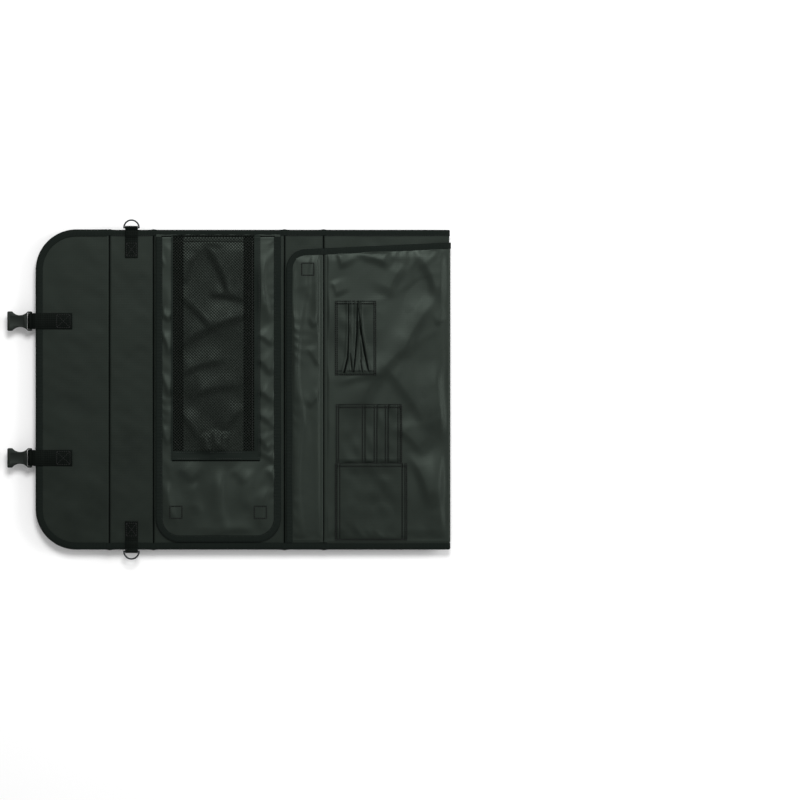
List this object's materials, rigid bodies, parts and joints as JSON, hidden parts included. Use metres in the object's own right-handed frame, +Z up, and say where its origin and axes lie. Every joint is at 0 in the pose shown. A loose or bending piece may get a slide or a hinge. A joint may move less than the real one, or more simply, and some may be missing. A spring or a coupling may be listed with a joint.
{
  "type": "knife case",
  "caption": "Fold-up soft case for knives with stiffened panels, turning leaves, mesh and tool pockets, drop handle, hanging rings and side-release buckles.",
  "frame": {"origin": "on the floor below the middle of the case as it lies open flat", "axes": "+X from the buckle sockets to the front's free edge, +Y along the creases, +Z up out of the lining"},
  "size_m": [0.6941, 0.5322, 0.0263],
  "materials": {
    "shell": "coated dark woven nylon with a faint sheen",
    "board": "stiffening board sealed inside the panels",
    "lining": "dark satin nylon, creased",
    "binding": "black grosgrain tape with a ribbed weave",
    "webbing": "black woven webbing with stitched boxes",
    "buckle": "black moulded acetal, fine matt grain",
    "strap": "black bonded strap with stitched edges",
    "grip": "soft grey-black sleeve with a dull sheen",
    "wire": "black-coated round wire",
    "rivet": "blackened steel rivets",
    "leaf": "thin dark satin nylon, softly wrinkled",
    "mesh": "black knitted net",
    "pocket": "dark nylon pocket with sewn hems",
    "piping": "raspberry-coloured corded piping",
    "fastener": "hook-and-loop tape"
  },
  "bodies": {
    "back_panel": {"back_outer": "shell", "back_board": "board", "back_lining": "lining", "back_binding": "binding", "blade_sleeve": "pocket", "elastic_strap": "pocket", "back_loop_patches": "fastener"},
    "top_panel": {"top_outer": "shell", "top_board": "board", "top_lining": "lining", "top_binding": "binding", "dring_tabs": "webbing", "handle_brackets": "wire", "handle_rivets": "rivet"},
    "flap_panel": {"flap_outer": "shell", "flap_board": "board", "flap_lining": "lining", "flap_binding": "binding", "socket_tabs": "webbing"},
    "bottom_gusset": {"gusset_outer": "shell", "gusset_board": "board", "gusset_lining": "lining", "gusset_binding": "binding", "gusset_straps": "webbing", "gusset_loop_patch": "fastener"},
    "front_panel": {"front_outer": "shell", "front_board": "board", "front_lining": "lining", "front_binding": "binding", "piping": "piping", "front_straps": "webbing"},
    "knife_page": {"knife_leaf": "leaf", "knife_leaf_binding": "binding", "mesh_pocket": "mesh", "mesh_tape": "binding", "knife_hook_patches": "fastener"},
    "tool_page": {"tool_leaf": "leaf", "tool_leaf_binding": "binding", "tool_pockets": "pocket"},
    "tool_page_edge": {"tool_leaf_edge": "leaf", "tool_edge_binding": "binding", "tool_hook_patch": "fastener"},
    "handle_ring_left": {"ring_left": "wire"},
    "handle_ring_right": {"ring_right": "wire"},
    "handle_grip": {"handle_core": "strap", "handle_sleeve": "grip"},
    "hanging_ring_left": {"dring_left": "wire"},
    "hanging_ring_right": {"dring_right": "wire"},
    "buckle_socket_left": {"socket_left": "buckle", "socket_web_left": "webbing"},
    "buckle_socket_right": {"socket_right": "buckle", "socket_web_right": "webbing"},
    "buckle_plug_left": {"plug_left": "buckle", "plug_strap_left": "webbing"},
    "buckle_plug_right": {"plug_right": "buckle", "plug_strap_right": "webbing"},
    "plug_arm_left_a": {"arm_left_a": "buckle"},
    "plug_arm_left_b": {"arm_left_b": "buckle"},
    "plug_arm_right_a": {"arm_right_a": "buckle"},
    "plug_arm_right_b": {"arm_right_b": "buckle"}
  },
  "joints": [
    {"name": "top_fold", "type": "hinge", "parent": "back_panel", "child": "top_panel", "pos_m": [-0.1182, 0, 0.01965], "axis": [0, 1, 0], "range_deg": [0, 90]},
    {"name": "flap_fold", "type": "hinge", "parent": "top_panel", "child": "flap_panel", "pos_m": [-0.1872, 0, 0.01965], "axis": [0, 1, 0], "range_deg": [0, 90]},
    {"name": "bottom_fold", "type": "hinge", "parent": "back_panel", "child": "bottom_gusset", "pos_m": [0.0868, 0, 0.01965], "axis": [0, -1, 0], "range_deg": [0, 90]},
    {"name": "front_fold", "type": "hinge", "parent": "bottom_gusset", "child": "front_panel", "pos_m": [0.1478, 0, 0.01965], "axis": [0, -1, 0], "range_deg": [0, 90]},
    {"name": "knife_page_turn", "type": "hinge", "parent": "back_panel", "child": "knife_page", "pos_m": [-0.0182, 0.2398, 0.02385], "axis": [1, 0, 0], "range_deg": [-165, 0]},
    {"name": "tool_page_turn", "type": "hinge", "parent": "front_panel", "child": "tool_page", "pos_m": [0.2478, -0.2398, 0.02385], "axis": [-1, 0, 0], "range_deg": [-165, 0]},
    {"name": "tool_page_edge_fold", "type": "hinge", "parent": "tool_page", "child": "tool_page_edge", "pos_m": [0.1478, 0, 0.01965], "axis": [0, -1, 0], "range_deg": [-90, 0]},
    {"name": "handle_raise", "type": "hinge", "parent": "top_panel", "child": "handle_ring_left", "pos_m": [-0.1527, -0.08, 0.01615], "axis": [-1, 0, 0], "range_deg": [0, 70]},
    {"name": "handle_raise_right", "type": "hinge", "parent": "top_panel", "child": "handle_ring_right", "pos_m": [-0.1527, 0.08, 0.01615], "axis": [-1, 0, 0], "range_deg": [0, 70]},
    {"name": "handle_level", "type": "hinge", "parent": "handle_ring_left", "child": "handle_grip", "pos_m": [-0.1527, -0.0675, 0.0116], "axis": [1, 0, 0], "range_deg": [0, 70]},
    {"name": "hanging_ring_swing_left", "type": "hinge", "parent": "top_panel", "child": "hanging_ring_left", "pos_m": [-0.1527, -0.25315, 0.02365], "axis": [-1, 0, 0], "range_deg": [-90, 90]},
    {"name": "hanging_ring_swing_right", "type": "hinge", "parent": "top_panel", "child": "hanging_ring_right", "pos_m": [-0.1527, 0.25315, 0.02365], "axis": [1, 0, 0], "range_deg": [-90, 90]},
    {"name": "socket_bend_left", "type": "hinge", "parent": "flap_panel", "child": "buckle_socket_left", "pos_m": [-0.3036, -0.107, 0.02365], "axis": [0, 1, 0], "range_deg": [-42, 0], "stiffness_Nm_per_rad": 0.03, "springref_deg": 6.88},
    {"name": "plug_bend_left", "type": "hinge", "parent": "front_panel", "child": "buckle_plug_left", "pos_m": [0.1651, -0.107, 0.01695], "axis": [0, -1, 0], "range_deg": [-80, 0], "stiffness_Nm_per_rad": 0.05, "springref_deg": 6.88},
    {"name": "plug_squeeze_left", "type": "hinge", "parent": "buckle_plug_left", "child": "plug_arm_left_a", "pos_m": [0.1945, -0.098, 0.01135], "axis": [0, 0, 1], "range_deg": [-8, 0], "stiffness_Nm_per_rad": 0.02, "springref_deg": 3.44},
    {"name": "plug_squeeze_left_b", "type": "hinge", "parent": "buckle_plug_left", "child": "plug_arm_left_b", "pos_m": [0.1945, -0.116, 0.01135], "axis": [0, 0, -1], "range_deg": [-8, 0], "stiffness_Nm_per_rad": 0.02, "springref_deg": 3.44},
    {"name": "socket_bend_right", "type": "hinge", "parent": "flap_panel", "child": "buckle_socket_right", "pos_m": [-0.3036, 0.107, 0.02365], "axis": [0, 1, 0], "range_deg": [-42, 0], "stiffness_Nm_per_rad": 0.03, "springref_deg": 6.88},
    {"name": "plug_bend_right", "type": "hinge", "parent": "front_panel", "child": "buckle_plug_right", "pos_m": [0.1651, 0.107, 0.01695], "axis": [0, -1, 0], "range_deg": [-80, 0], "stiffness_Nm_per_rad": 0.05, "springref_deg": 6.88},
    {"name": "plug_squeeze_right", "type": "hinge", "parent": "buckle_plug_right", "child": "plug_arm_right_a", "pos_m": [0.1945, 0.116, 0.01135], "axis": [0, 0, 1], "range_deg": [-8, 0], "stiffness_Nm_per_rad": 0.02, "springref_deg": 3.44},
    {"name": "plug_squeeze_right_b", "type": "hinge", "parent": "buckle_plug_right", "child": "plug_arm_right_b", "pos_m": [0.1945, 0.098, 0.01135], "axis": [0, 0, -1], "range_deg": [-8, 0], "stiffness_Nm_per_rad": 0.02, "springref_deg": 3.44}
  ],
  "couplings": [
    {"joint": "handle_raise_right", "follows": "handle_raise", "ratio": 1},
    {"joint": "handle_level", "follows": "handle_raise", "ratio": 1},
    {"joint": "tool_page_edge_fold", "follows": "front_fold", "ratio": -1},
    {"joint": "plug_squeeze_left_b", "follows": "plug_squeeze_left", "ratio": 1},
    {"joint": "plug_squeeze_right_b", "follows": "plug_squeeze_right", "ratio": 1}
  ]
}
